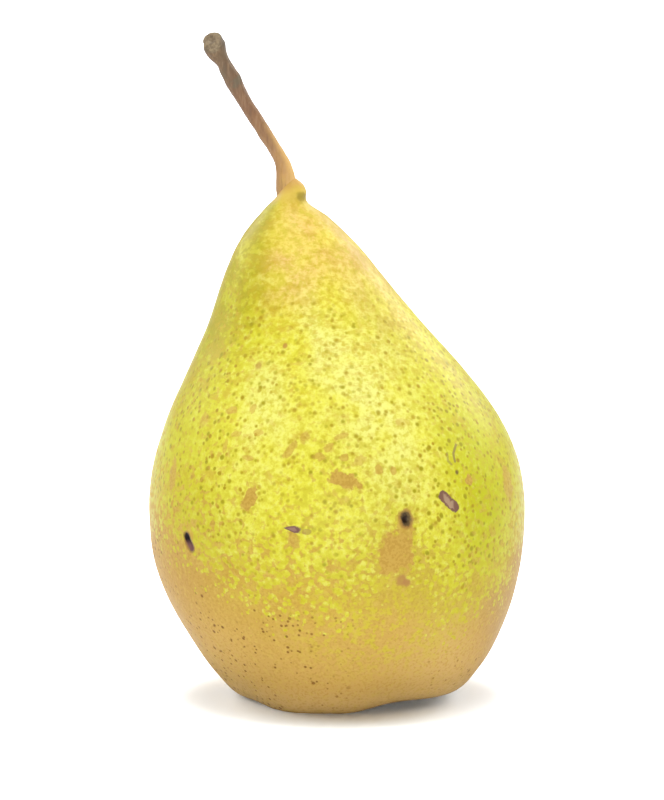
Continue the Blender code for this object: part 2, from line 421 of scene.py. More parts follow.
# %% The fleshy collar
COLLAR_RINGS = 22
COLLAR_SIDE = math.radians(75.0)    # the flesh climbs highest in this direction
COLLAR_LOW = 96.9
COLLAR_CLIMB = 3.5
COLLAR_BULGE = 0.95
beside = 0.5 + 0.5 * np.cos(turns - COLLAR_SIDE)
collar_top = COLLAR_LOW + COLLAR_CLIMB * beside ** 1.5
first = smooth_net[0]
rings = []
for ring in range(1, COLLAR_RINGS + 1):
    share = ring / COLLAR_RINGS
    height = first[:, 2] + (collar_top - first[:, 2]) * share ** 0.85
    middle, girth = stem_at(height)
    offset = first[:, :2] - stem_at(first[:, 2])[0][:, :2]
    start = np.linalg.norm(offset, axis=1)
    aim = outward[:, :2] * ease(0.0, 0.5, share) + offset / start[:, None] * ease(0.5, 0.0, share)
    aim /= np.linalg.norm(aim, axis=1)[:, None]
    inner = 0.88 * girth
    reach = inner + (start - inner) * (1.0 - share) ** 1.7
    reach += COLLAR_BULGE * beside ** 2 * np.sin(math.pi * share ** 0.9) ** 1.2
    rings.append(np.column_stack([middle[:, :2] + aim * reach[:, None], height]))
collar = np.array(rings[::-1])
skin = np.concatenate([collar, smooth_net])
blended = melt(skin, 2.0, 1.6)
knit = np.clip((np.arange(len(skin)) - 1.0) / 4.0, 0.0, 1.0)[:, None, None]
skin = skin + (blended - skin) * knit

# On the right the neck is drawn in under a small knob of flesh.
from_stem = skin[..., :2] - stem_at(skin[..., 2])[0][..., :2]
length = np.linalg.norm(from_stem, axis=2)
rightward = np.clip(from_stem[..., 0] / length, 0.0, 1.0) ** 1.5
levels_drawn = [92.4, 93.6, 94.5, 95.3, 96.1, 96.9, 97.7, 98.5, 99.3, 100.2, 100.7]
drawn_in = [0.0, -0.45, -0.95, -1.15, -0.85, -0.15, 0.25, 0.60, 0.50, 0.0, -0.2]
shift = np.interp(skin[..., 2], levels_drawn, drawn_in) * rightward
shift *= np.sqrt(np.clip(np.arange(len(skin)) / 4.0, 0.0, 1.0))[:, None]
skin[..., :2] += from_stem / length[..., None] * shift[..., None]
print("skin net:", skin.shape[:2], "top", round(skin[..., 2].max(), 1), "mm")

# %% [markdown]
# ## Marks on the skin
#
# This pear has lived: an insect hole, a healed scar, a few bruises and rubs from twigs. Each mark has a
# centre, found by shooting a ray at the skin from a given direction and height, and two directions
# in the skin at that point, so that its outline is drawn in plain millimetres, as if on flat paper.


# %% A place on the skin with its own flat axes
class Mark:
    def __init__(self, turn, height):
        turn = math.radians(turn)
        out = np.array([math.sin(turn), -math.cos(turn), 0.0])
        self.centre = np.array(flesh.hit(core(height) + OUTSIDE * out, -out)[:])
        self.across = np.array([math.cos(turn), math.sin(turn), 0.0])
        above = np.array(flesh.hit(core(height + 1.5) + OUTSIDE * out, -out)[:])
        self.up = (above - self.centre) / np.linalg.norm(above - self.centre)
        self.out = np.cross(self.across, self.up)

    def along(self, place, way):
        if isinstance(place, Value):
            return place.finish.dot(place, tuple(way)) - float(way @ self.centre)
        return (place - self.centre) @ way

    def flat(self, place):
        """Millimetres to the side of the centre and above it."""
        return self.along(place, self.across), self.along(place, self.up)

    def near(self, place):
        """1 on this side of the fruit, 0 on the far side."""
        return ease(-9.0, -5.0, self.along(place, self.out))

    def oval(self, place, half_width, half_height, slant=0.0):
        """0 at the centre, 1 on the outline of an oval, larger outside."""
        u, v = self.flat(place)
        c, s = math.cos(math.radians(slant)), math.sin(math.radians(slant))
        p, q = u * c + v * s, v * c - u * s
        return root((p / half_width) ** 2 + (q / half_height) ** 2)

    def stroke(self, place, corners):
        """Distance in millimetres from a bent line through the given corners."""
        u, v = self.flat(place)
        nearest = None
        for (u0, v0), (u1, v1) in zip(corners, corners[1:]):
            du, dv = u1 - u0, v1 - v0
            share = ((u - u0) * du + (v - v0) * dv) / (du * du + dv * dv)
            share = greater(lesser(share, 1.0), 0.0)
            away = root((u - u0 - share * du) ** 2 + (v - v0 - share * dv) ** 2)
            nearest = away if nearest is None else lesser(nearest, away)
        return nearest


# The larger marks, front then back: a turn in degrees and a height. Lines are corners in mm.
HOLE = Mark(21.4, 39.7)
SCAR = Mark(36.8, 42.3)
PIT = Mark(-51.6, 33.5)
NICK = Mark(-13.4, 38.1)
SCRATCH = Mark(42.5, 50.0)
BACK_HOLE = Mark(146.0, 47.0)
BACK_SCAR = Mark(-128.0, 41.0)
SCAR_LINE = [(-1.15, 1.00), (-0.45, 0.25), (0.30, -0.70), (1.25, -1.30)]
PIT_LINE = [(-0.55, 0.95), (-0.20, 0.15), (0.62, -1.00)]
NICK_LINE = [(-1.55, 0.35), (0.05, 0.05), (0.85, 0.0)]
SCRATCH_LINE = [(1.6, 2.1), (0.25, 0.6), (0.1, -0.9)]
TWIG_LINE = [(-1.2, 0.9), (-1.5, -0.5), (-0.9, -1.3)]
BACK_SCAR_LINE = [(-1.6, -0.8), (0.0, 0.4), (1.5, 0.3)]


def dents(place):
    """How far the marks raise (+) or sink (-) the skin, in millimetres."""
    hole = HOLE.oval(place, 1.0, 1.35, 12.0)
    depth = -0.75 * ease(1.15, 0.25, hole) + 0.07 * ease(2.2, 1.3, hole) * ease(0.9, 1.3, hole)
    scar = SCAR.stroke(place, SCAR_LINE)
    depth = depth + 0.10 * ease(1.2, 0.75, scar) - 0.22 * ease(0.75, 0.35, scar)
    pit = PIT.stroke(place, PIT_LINE)
    depth = depth - 0.55 * ease(0.85, 0.1, pit)
    nick = NICK.stroke(place, NICK_LINE)
    depth = depth - 0.22 * ease(0.75, 0.2, nick)
    back = BACK_HOLE.oval(place, 1.1, 1.0)
    depth = depth - 0.5 * ease(1.15, 0.3, back) * BACK_HOLE.near(place)
    seam = BACK_SCAR.stroke(place, BACK_SCAR_LINE)
    return depth + 0.12 * ease(1.0, 0.5, seam) - 0.2 * ease(0.5, 0.2, seam)


print("hole at", HOLE.centre.round(1), "scar at", SCAR.centre.round(1))

# %% [markdown]
# ## Unevenness
#
# A turned shape looks machined. Real flesh swells unevenly while it grows, so broad shallow swellings
# are added, then finer ones, then the creases that ring the neck where the skin is drawn in.


# %% Swellings, creases and marks
def cloud(place, size, shift=0.0):
    """Smooth noise from -1 to 1 in patches of about size millimetres, for arrays of places."""
    flat = place.reshape(-1, 3) / size + shift
    return np.array([hill(Vector(spot)) for spot in flat]).reshape(place.shape[:-1])


def facing(grid):
    """The outward direction at every crossing of the net."""
    down = np.gradient(grid, axis=0)
    wrapped = np.concatenate([grid[:, -1:], grid, grid[:, :1]], axis=1)
    round_it = 0.5 * (wrapped[:, 2:] - wrapped[:, :-2])
    out = np.cross(down, round_it)
    return out / np.linalg.norm(out, axis=2)[..., None]


height = skin[..., 2]
free = ease(0.6, 5.0, height) * ease(97.0, 92.0, height)
swelling = 0.28 * cloud(skin, 24.0) + 0.10 * cloud(skin, 9.0, 7.3) + 0.03 * cloud(skin, 3.2, 2.1)
ringed = skin * np.array([0.35, 0.35, 1.0])
creases = 0.05 * cloud(ringed, 1.7, 4.4) * ease(62.0, 84.0, height)
relief = (swelling + creases) * free + dents(skin)
normals = facing(skin)
print("outward on average:", bool((normals * (skin - [0, 0, 45])).sum(axis=2).mean() > 0))
skin = skin + normals * relief[..., None]
print("relief from", round(relief.min(), 2), "to", round(relief.max(), 2), "mm")

# %% The lobe that the pear leans on
# The front left lobe sags a little lower than the solid's, down to the table.
SAG_MIDDLE = -10.5
SAG_SPREAD = 5.5
SAG_DEPTH = 0.85
LOWEST = 0.02
sag = np.exp(-(((skin[..., 0] - SAG_MIDDLE) / SAG_SPREAD) ** 2)) * ease(-7.0, -15.0, skin[..., 1])
skin[..., 2] -= SAG_DEPTH * sag * ease(10.0, 2.0, skin[..., 2])
skin[..., 2] = np.maximum(skin[..., 2], LOWEST)
print("skin reaches down to", round(skin[..., 2].min(), 2), "mm")

# %% [markdown]
# ## From net to mesh
#
# The net becomes a mesh of four-sided faces, closed with a fan of triangles at each end. Each vertex
# also carries a few painted numbers that the finish reads: how far it lies above the wandering edge of
# the brown russet, how green or how blushed the skin is there, and where shade and highlight are
# painted on it. A flat map is stored as well: the turn round the fruit runs across it and the line of
# the net runs down it, so that the finish can be printed on it without stretching.


# %% Weaving a net into a mesh
def into_scene(name, data):
    """A new object that shows the given data."""
    thing = bpy.data.objects.new(name, data)
    bpy.context.scene.collection.objects.link(thing)
    return thing


def woven(name, grid, painted=None, map_name=None):
    rows, columns = grid.shape[:2]
    ends = [grid[0].mean(axis=0), grid[-1].mean(axis=0)]
    points = np.concatenate([grid.reshape(-1, 3), ends]) * MM
    first, last = rows * columns, rows * columns + 1
    faces, corners = [], []
    run = np.linalg.norm(np.diff(grid, axis=0), axis=2).mean(axis=1)
    down = 1.0 - (np.concatenate([[0.0], np.cumsum(run)]) + 0.4) / (run.sum() + 0.8)
    for row in range(rows - 1):
        for column in range(columns):
            after = (column + 1) % columns
            faces.append((row * columns + column, (row + 1) * columns + column,
                          (row + 1) * columns + after, row * columns + after))
            left, right = column / columns, (column + 1) / columns
            corners += [(left, down[row]), (left, down[row + 1])]
            corners += [(right, down[row + 1]), (right, down[row])]
    for column in range(columns):
        after = (column + 1) % columns
        left, right = column / columns, (column + 1) / columns
        middle = 0.5 * (left + right)
        faces.append((first, column, after))
        corners += [(middle, 1.0), (left, down[0]), (right, down[0])]
        base = (rows - 1) * columns
        faces.append((last, base + after, base + column))
        corners += [(middle, 0.0), (right, down[-1]), (left, down[-1])]
    mesh = bpy.data.meshes.new(name)
    mesh.from_pydata(points.tolist(), [], faces)
    mesh.update()
    mesh.shade_smooth()
    if map_name:
        layer = mesh.uv_layers.new(name=map_name)
        layer.data.foreach_set("uv", np.array(corners).ravel())
    for label, values in (painted or {}).items():
        whole = np.concatenate([values.ravel(), [values[0].mean(), values[-1].mean()]])
        mesh.attributes.new(label, "FLOAT", "POINT").data.foreach_set("value", whole)
    triangles = sum(len(face) - 2 for face in faces)
    print(name, "has", len(points), "points and", triangles, "triangles")
    return into_scene(name, mesh)


# %% What is painted on the skin
# Height of the russet's edge in each direction, in mm: (turn in degrees, height).
RUSSET_EDGE = [(-180, 35), (-150, 31), (-120, 36), (-92, 41), (-72, 40), (-56, 37), (-46, 36),
               (-35, 31), (-22, 28), (-12, 27), (-3, 28), (5, 28), (12, 33), (19, 36), (26, 29),
               (33, 25), (42, 24), (52, 27), (62, 29), (72, 34), (88, 39), (110, 34), (140, 38),
               (165, 33), (180, 35)]
# Soft patches of each colour: (strength, turn, height, spread in turn, spread in height).
SOFT_PATCHES = {
    "green": [(1.0, 55, 50, 10, 12), (0.55, 42, 52, 7, 10), (0.8, 50, 36, 13, 9),
              (0.35, -62, 58, 24, 22), (0.5, 150, 52, 22, 16), (0.4, -140, 60, 18, 14),
              (0.35, -75, 80, 30, 16)],
    "blush": [(1.0, 4, 88, 36, 7), (0.55, -22, 81, 20, 5), (0.8, 75, 84, 34, 9),
              (0.7, -170, 86, 40, 8), (0.3, 60, 74, 22, 7)],
    # Olive patches: olive of the skin with painted shade on the flanks and shoulders.
    "dull": [(1.15, -66, 80, 28, 17), (0.35, -84, 64, 18, 16), (0.40, -36, 80, 16, 11),
             (0.8, -66, 91, 26, 9), (0.4, 78, 60, 20, 20), (0.50, 48, 72, 16, 11),
             (0.4, 160, 70, 40, 20), (0.3, -150, 50, 30, 14)],
    # Pale patches: pale wax of the skin with a painted highlight on the front faces.
    "pale": [(1.0, -26, 60, 12, 10), (1.0, 20, 58, 13, 16), (1.0, 2, 70, 12, 12),
             (0.7, 38, 74, 10, 14), (0.6, -4, 84, 16, 5), (0.6, -160, 60, 16, 16)],
    # Tan bands on the left and right edges of the neck: a tan of the skin with painted shade over it.
    "tanned": [(1.0, 78, 87, 27, 8), (1.0, -94, 83, 20, 16)],
    "mixed": [(1.0, 11, 24, 26, 8), (0.8, 14, 16, 26, 6), (0.6, -150, 26, 30, 8)],
}
height = skin[..., 2]
middle = core(np.clip(height, 1.0, 97.0))
turn = np.degrees(np.arctan2(skin[..., 0] - middle[..., 0], middle[..., 1] - skin[..., 1]))
knots = np.array(RUSSET_EDGE, dtype=float)
edge = np.interp(turn, knots[:, 0], knots[:, 1])
edge = average(average(edge, 4.0, 1, True), 2.0, 0, False)


def soft(rows):
    """The sum of soft patches, cut off at 1."""
    total = np.zeros(turn.shape)
    for strength, at_turn, at_height, spread_turn, spread_height in rows:
        aside = (turn - at_turn + 180.0) % 360.0 - 180.0
        away = (aside / spread_turn) ** 2 + ((height - at_height) / spread_height) ** 2
        total += strength * np.exp(-away)
    return np.clip(total, 0.0, 1.0)


painted = {"russet_rise": height - edge}
painted.update({label: soft(rows) for label, rows in SOFT_PATCHES.items()})
up_collar = np.clip(1.0 - np.arange(len(skin)) / COLLAR_RINGS, 0.0, 1.0)
painted["collar"] = up_collar[:, None] * np.ones(AROUND)
fruit = woven("fruit_skin", skin, painted, "OFBake")

# %% [markdown]
# ## The stem
#
# The stem is wood: slim and ridged, swollen where a bud once sat, and thick at the tip where it
# broke off the spur. It is drawn as rings along the measured line of the solid stem. The tip is not cut
# square: the break slopes, with a low rim round a sunken middle.

# %% Rings of wood
STEM_SIDES = 88
STEM_RINGS = 190
line_heights = np.linspace(95.0, 125.9, STEM_RINGS)
axis_line, girth = stem_at(line_heights)
axis_line = average(axis_line, 3.0, 0, False)
forward = np.gradient(axis_line, axis=0)
forward /= np.linalg.norm(forward, axis=1)[:, None]
ahead = np.array([0.0, -1.0, 0.0])
side_way = np.cross(ahead, forward)
side_way /= np.linalg.norm(side_way, axis=1)[:, None]
front_way = np.cross(forward, side_way)
angles = np.arange(STEM_SIDES) * 2.0 * math.pi / STEM_SIDES
print("stem from", axis_line[0].round(1), "to", axis_line[-1].round(1))

# %% Ridges, a bud scar and a flared foot
# Knobs (+) and hollows (-) of the wood: (depth, height, half length, the angle it faces, sharpness).
KNOBS = [
    (0.34, 118.4, 1.3, 1.35, 2.0),            # where a bud sat
    (-0.22, 121.6, 0.8, -1.5, 2.0),           # a hollow above it
    (0.45, 99.6, 2.4, 0.5 * math.pi, 1.0),    # the flare at the foot
]
DOME_RINGS = 20
grow = girth.copy()
grow += 0.25 * ease(104.0, 112.0, line_heights)
grow += 0.32 * np.exp(-(((line_heights - 124.4) / 1.7) ** 2))
shaft = []
for spot, radius, side, front, level in zip(axis_line, grow, side_way, front_way, line_heights):
    reach = radius * (1.0 - 0.05 * np.cos(2.0 * angles + 0.08 * level))
    for depth, at_height, half_length, faced, sharp in KNOBS:
        share = greater(np.cos(angles - faced), 0.0) ** sharp
        reach = reach + depth * math.exp(-(((level - at_height) / half_length) ** 2)) * share
    ring = np.cos(angles)[:, None] * front - np.sin(angles)[:, None] * side
    shaft.append(spot + ring * reach[:, None])
dome = []
for tilt in np.linspace(0.0, 0.5 * math.pi, DOME_RINGS)[1:-1]:
    middle = axis_line[-1] + forward[-1] * grow[-1] * 0.75 * math.sin(tilt)
    dome.append(middle + ring * grow[-1] * math.cos(tilt))
wood = np.array((shaft + dome)[::-1])
grain = wood * np.array([1.0, 1.0, 0.10])
wood_out = facing(wood)
bark = 0.07 * cloud(grain, 0.55, 3.1) + 0.09 * cloud(wood, 2.6, 8.2)
bark = bark * ease(96.0, 101.0, wood[..., 2])
wood = wood + wood_out * bark[..., None]
print("thickest at", round(2.0 * grow.max(), 2), "mm")

# %% The broken tip
BREAK_WAY = np.array([-0.30, -0.80, 0.52])    # the break faces this way
BREAK_LEVEL = 0.78                            # and lies this far out from a point in the wood
BREAK_HOLLOW = 0.16
break_way = BREAK_WAY / np.linalg.norm(BREAK_WAY)
inside = axis_line[-1] - 0.25 * forward[-1]
outwards = (wood - inside) @ break_way
across = np.linalg.norm((wood - inside) - outwards[..., None] * break_way, axis=2)
hollow = BREAK_HOLLOW * ease(0.95, 0.35, across) - 0.05 * np.exp(-(((across - 1.1) / 0.22) ** 2))
sink = np.where(outwards > BREAK_LEVEL, outwards - BREAK_LEVEL + hollow, 0.0)
wood = wood - sink[..., None] * break_way
near_tip = ease(122.5, 124.5, wood[..., 2])[..., None]
wood = wood + (melt(wood, 1.0, 1.0) - wood) * near_tip
broken = ease(-0.10, 0.04, (wood - inside) @ break_way - BREAK_LEVEL + BREAK_HOLLOW)
# Which side of the stem each vertex lies on, from left (-1) to right (+1), for its painted light and
# shade.
right_side = np.broadcast_to(np.sin(angles), wood.shape[:2])
stem = woven("stem_wood", wood, {"broken": broken, "right": right_side}, "OFBake")
print("stem top", round(wood[..., 2].max(), 2), "mm")

# %% [markdown]
# ## The calyx
#
# Turned over, a pear shows what is left of its flower: five dry sepals round a small cup with the
# shrivelled stamens still in it. The sepals are thin sheets, so each is made as an open surface and
# given its thickness by a Solidify modifier; the stamens are tapering threads.

# %% Sheets of dry leaf
SEPALS = 5
CUP_SIDES = 30
SHEET_THICKNESS = 0.28
low, high = (np.array(corner[:]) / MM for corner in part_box("calyx"))
centre = 0.5 * (low + high)
roof = high[2]
points, faces = [], []


def add_sheet(grid, closed=False):
    """Add a net of points to the calyx as faces."""
    rows, columns = grid.shape[:2]
    start = len(points)
    points.extend((grid.reshape(-1, 3) * MM).tolist())
    for row in range(rows - 1):
        for column in range(columns if closed else columns - 1):
            after = (column + 1) % columns
            faces.append((start + row * columns + column, start + row * columns + after,
                          start + (row + 1) * columns + after, start + (row + 1) * columns + column))


for number in range(SEPALS):
    turn_here = math.radians(-18.0 + 360.0 / SEPALS * number)
    out = np.array([math.sin(turn_here), -math.cos(turn_here), 0.0])
    aside = np.array([math.cos(turn_here), math.sin(turn_here), 0.0])
    twist = 0.5 * math.sin(2.3 * number + 1.0)
    curl = 1.0 + 0.35 * math.sin(3.1 * number)
    sheet = []
    for share in np.linspace(0.0, 1.0, 15):
        reach = 1.7 + 4.3 * math.sin(1.45 * share)
        drop = 0.5 + 1.3 * share + 0.9 * curl * max(share - 0.6, 0.0) ** 1.5
        half = 1.55 * (1.0 - share) ** 0.7 * (0.55 + share * 1.3) + 0.06
        row = []
        for lean in np.linspace(-1.0, 1.0, 9):
            fold = 0.35 * half * (lean * lean) + 0.10 * math.sin(7.0 * lean + number)
            slope = twist * share * lean * half * 0.6
            hub = np.array([centre[0], centre[1], roof - drop + fold + slope])
            row.append(hub + out * reach + aside * lean * half)
        sheet.append(row)
    add_sheet(np.array(sheet))
cup = []
for share in np.linspace(0.0, 1.0, 10):
    ring = []
    for angle in np.arange(CUP_SIDES) * 2.0 * math.pi / CUP_SIDES:
        reach = 0.25 + 2.2 * share + 0.10 * math.sin(5.0 * angle + 1.0) * share
        side, front = reach * math.sin(angle), reach * math.cos(angle)
        ring.append([centre[0] + side, centre[1] - front, roof - 0.35 - 0.5 * share ** 2])
    cup.append(ring)
add_sheet(np.array(cup)[::-1], closed=True)
sheet_mesh = bpy.data.meshes.new("calyx_sepals")
sheet_mesh.from_pydata(points, [], faces)
sheet_mesh.update()
sheet_mesh.shade_smooth()
sepals = into_scene("calyx_sepals", sheet_mesh)
thick = sepals.modifiers.new("thickness", "SOLIDIFY")
thick.thickness = SHEET_THICKNESS * MM
thick.offset = 0.0
rounder = sepals.modifiers.new("rounder", "SUBSURF")
rounder.levels = 1
rounder.render_levels = 1
print("sepals:", len(faces), "faces before rounding")

# %% Stamens
STAMENS = 14
STAMEN_RING = 1.25      # radius of the ring that they stand on
STAMEN_LENGTH = 1.9
STAMEN_RADIUS = 0.13
points, faces = [], []


def compass(angle):
    """The level direction at an angle."""
    return np.array([math.cos(angle), math.sin(angle), 0.0])


for number in range(STAMENS):
    angle = number * 2.4
    foot = np.array([*centre[:2], roof - 0.5]) + STAMEN_RING * compass(angle)
    lean = 0.45 + 0.35 * math.sin(5.0 * number)
    thread = []
    for share in np.linspace(0.0, 1.0, 9):
        spot = foot + lean * share ** 1.5 * compass(angle + 1.2)
        spot[2] -= STAMEN_LENGTH * share
        width = STAMEN_RADIUS * (1.0 - 0.35 * share) + (STAMEN_RADIUS if share > 0.85 else 0.0)
        thread.append([spot + width * compass(a) for a in np.arange(8) * math.pi / 4.0])
    tip = np.mean(thread[-1], axis=0) + [0.0, 0.0, -0.08]
    thread.append([tip] * 8)
    add_sheet(np.array(thread), closed=True)
thread_mesh = bpy.data.meshes.new("calyx_stamens")
thread_mesh.from_pydata(points, [], faces)
work = bmesh.new()
work.from_mesh(thread_mesh)
bmesh.ops.remove_doubles(work, verts=work.verts[:], dist=0.001 * MM)
bmesh.ops.recalc_face_normals(work, faces=work.faces[:])
work.to_mesh(thread_mesh)
work.free()
thread_mesh.shade_smooth()
stamens = into_scene("calyx_stamens", thread_mesh)
print("stamens:", len(faces), "faces")

# %% [markdown]
# ## The finish of the skin
#
# Seen close, the skin is a yellow ground under several layers. Olive and tan flecks cloud it, thickest
# round the neck. Small round pores, the lenticels, dot it below the neck. Russet, a thin brown cork,
# covers the base; higher up it opens into a net that leaves round spots of yellow free, and dark pores
# prick it low down. Over these lie the marks of this one pear. Each layer is a share from 0 to 1 made by
# cutting noise at a level, so its edges are crisp where the real ones are, and each is blended over the
# last.

# %% Ground colour, green sides, blushed neck, painted shade and painted highlight
f = Finish("pear_skin", Roughness=0.42, IOR=1.42, Specular_IOR_Level=0.08)
here = f.place()
x, y, z = f.axes(here)
rise = f.painted("russet_rise")
# Olive tone of the skin with painted shade on the flanks and shoulders.
olive_and_shade_share = f.painted("dull")
# Pale wax with a painted highlight; where it lies, the olive clouds and the russet are thinned.
bright = f.painted("pale")
broad = f.noise(here, 17.0, 2.0)
medium = f.noise(here, 6.0, 3.0)
small = f.noise(here, 2.4, 3.0, 0.6)
fine = f.noise(here, 1.0, 2.0, 0.6)

upper = ease(52.0, 62.0, z) * ease(82.0, 74.0, z)
# The left and right sides as the lens sees them are painted darker and greener: painted shade over some
# green of the skin.
shaded_flank = ease(17.0, 31.0, abs(x))
neck = ease(70.0, 92.0, z)
green_share = lesser(f.painted("green") * (0.80 + 0.8 * (medium - 0.5)), 1.0)
blush_share = f.painted("blush") * (0.35 + 0.65 * ease(0.34, 0.58, medium))
tanned = f.painted("tanned") * (0.35 + 0.65 * ease(0.40, 0.58, medium))
ground = f.coat(
    f.blend(ease(0.40, 0.62, broad), paint(244, 236, 78), paint(247, 240, 94)),
    (upper * 0.5, (245, 237, 56)),
    # painted shade on the left and right flanks
    (shaded_flank * 0.80, (212, 208, 34)),
    (ease(16.0, -4.0, rise) * 0.80, (215, 206, 60)),
    # pale wax and painted highlight
    (bright * (0.35 + 0.65 * ease(0.30, 0.60, medium)) * 0.85, (255, 252, 150)),
    (green_share, (204, 208, 26)),
    (neck * 0.8, (255, 235, 94)),
    (ease(86.0, 95.0, z) * 0.75, (230, 204, 76)),
    (blush_share * 0.90, (255, 200, 134)),
    # olive skin with painted shade
    (olive_and_shade_share * 0.60, (182, 186, 16)),
    # tan of the skin with painted shade on the neck's edges
    (tanned * 0.75, (204, 164, 82)),
)
print("ground colours mixed")

# %% Fine mottling of the ground
peel = f.noise(here, 1.25, 2.0, 0.6)
grit = f.noise(here, 0.55, 1.0, 0.5)
ground = f.coat(
    ground,
    (ease(0.46, 0.66, peel) * 0.55, (206, 194, 50)),
    (ease(0.50, 0.32, peel) * (0.36 - 0.26 * shaded_flank - 0.16 * neck), (255, 251, 140)),
    (ease(0.50, 0.72, grit) * 0.30, (204, 190, 58)),
)
print("ground mottled")

# %% Olive clouds round the neck, tan flecks lower down
level_place = f.vector("MULTIPLY", here, (0.75, 0.75, 1.2))
cloudy = f.noise(level_place, 2.3, 3.0, 0.6)
streaky = f.noise(level_place, 0.95, 2.0, 0.6)
neck_zone = ease(50.0, 76.0, z)
mottle = cloudy * 0.50 + streaky * 0.50 + (medium - 0.5) * 0.20 + (broad - 0.5) * 0.12
cut = 0.590 - 0.050 * neck_zone - 0.030 * shaded_flank - 0.060 * olive_and_shade_share
olive = ease(cut - 0.070, cut + 0.080, mottle) * (0.48 + 0.36 * olive_and_shade_share + 0.12 * shaded_flank)
olive_colour = f.coat(
    f.blend(ease(0.42, 0.58, medium), paint(200, 176, 48), paint(210, 170, 66)),
    (olive_and_shade_share * 0.7, (172, 168, 34)),
)
flecks = ease(0.50, 0.60, streaky * 0.7 + small * 0.3) * neck_zone
colour = f.coat(
    ground,
    (olive * (1.0 - 0.6 * bright), olive_colour),
    (flecks * 0.38, (216, 186, 62)),
)
print("clouds laid")

# %% Lenticels
above_russet = ease(-6.0, 2.0, rise) * ease(90.0, 70.0, z)
towards_side = ease(9.0, 23.0, abs(x))
halo_total = 0.0
for size, strength, low, high in ((1.42, 0.58, 0.22, 0.66), (1.95, 0.80, 0.24, 0.74)):
    gap, pick, tint = f.cells(here, size)
    halo = ease(high, low, gap / (0.55 + 0.45 * pick)) * ease(0.04, 0.22, pick)
    halo_colour = f.blend(tint, paint(176, 166, 46), paint(190, 156, 50))
    halo_share = halo * above_russet * (strength + 0.40 * towards_side)
    colour = f.coat(colour, (halo_share, halo_colour))
    halo_total = halo_total + halo
eye = ease(0.34, 0.12, gap / (0.6 + 0.4 * pick)) * ease(0.25, 0.45, pick)
colour = f.coat(colour, (eye * above_russet * 0.14, (130, 110, 44)))
print("lenticels set")

# %% Russet
grainy = f.noise(here, 1.15, 2.0, 0.62)
wide_rise = rise + (medium - 0.5) * 16.0 + (broad - 0.5) * 10.0
above = greater(wide_rise, 0.0)
below = lesser(wide_rise, 0.0)
level = 0.5 + 0.160 * above / (above + 9.0) + 0.006 * below - 0.0007 * below * below
clump = f.cells(here, 1.18)[0]
crumb = small * 0.22 + grainy * 0.43 + clump * 0.30
russet = ease(level - 0.042, level + 0.052, crumb) * ease(52.0, 36.0, rise)
deep = ease(26.0, 4.0, z)
edge_warm = ease(20.0, 31.0, abs(x)) * ease(-1.0, -7.0, rise)
islands = ease(0.46, 0.58, small * 0.4 + peel * 0.6)
mixed = greater(f.painted("mixed"), ease(-14.0, -3.0, rise) * ease(0.42, 0.60, medium) * 0.7)
cork = f.coat(
    f.blend(ease(0.35, 0.65, medium), paint(210, 168, 74), paint(217, 178, 84)),
    (ease(-2.0, -12.0, rise) * 0.6, (211, 168, 86)),
    (ease(-4.0, 12.0, x) * ease(-16.0, -4.0, rise) * 0.8, (206, 182, 70)),
    (deep * 0.9, (224, 177, 104)),
    (ease(-12.0, -24.0, x) * deep * 0.8, (240, 194, 116)),
    (ease(4.0, 24.0, x) * deep, (238, 193, 124)),
    (ease(7.0, 1.0, z) * 0.7, (250, 206, 140)),
    (edge_warm * 0.7, (210, 160, 94)),
    (ease(25.0, 31.0, x) * edge_warm * 0.5, (188, 146, 96)),
    (islands * mixed * 0.85, (218, 202, 68)),
    (ease(0.48, 0.70, fine) * 0.50, (230, 194, 100)),
    (ease(0.52, 0.32, grit) * 0.32, (180, 132, 60)),
)
cover = russet * (0.92 - 0.30 * ease(2.0, 14.0, rise)) * (1.0 - 0.6 * bright)
colour = f.coat(colour, (cover, cork))
print("russet laid")

# %% Dark pores in the russet
layers = []
for size, least, wide in ((1.15, 0.36, 0.43), (2.1, 0.24, 0.58)):
    away, chance = f.cells(here, size)[:2]
    spot = ease(wide, wide * 0.5, away / (0.35 + 0.60 * chance))
    layers.append(spot * ease(least, least + 0.1, chance))
pores = greater(*layers)
patchy = ease(0.30, 0.50, f.noise(here, 11.0, 1.0))
pore_zone = ease(-2.0, -8.0, rise) * patchy * ease(8.0, -5.0, x)
pore_zone = pore_zone + ease(12.0, 20.0, x) * ease(14.0, 9.0, z) * ease(2.0, 6.0, z) * 0.7
colour = f.coat(colour, (pores * pore_zone * 0.82, (134, 88, 44)))
print("pores set")

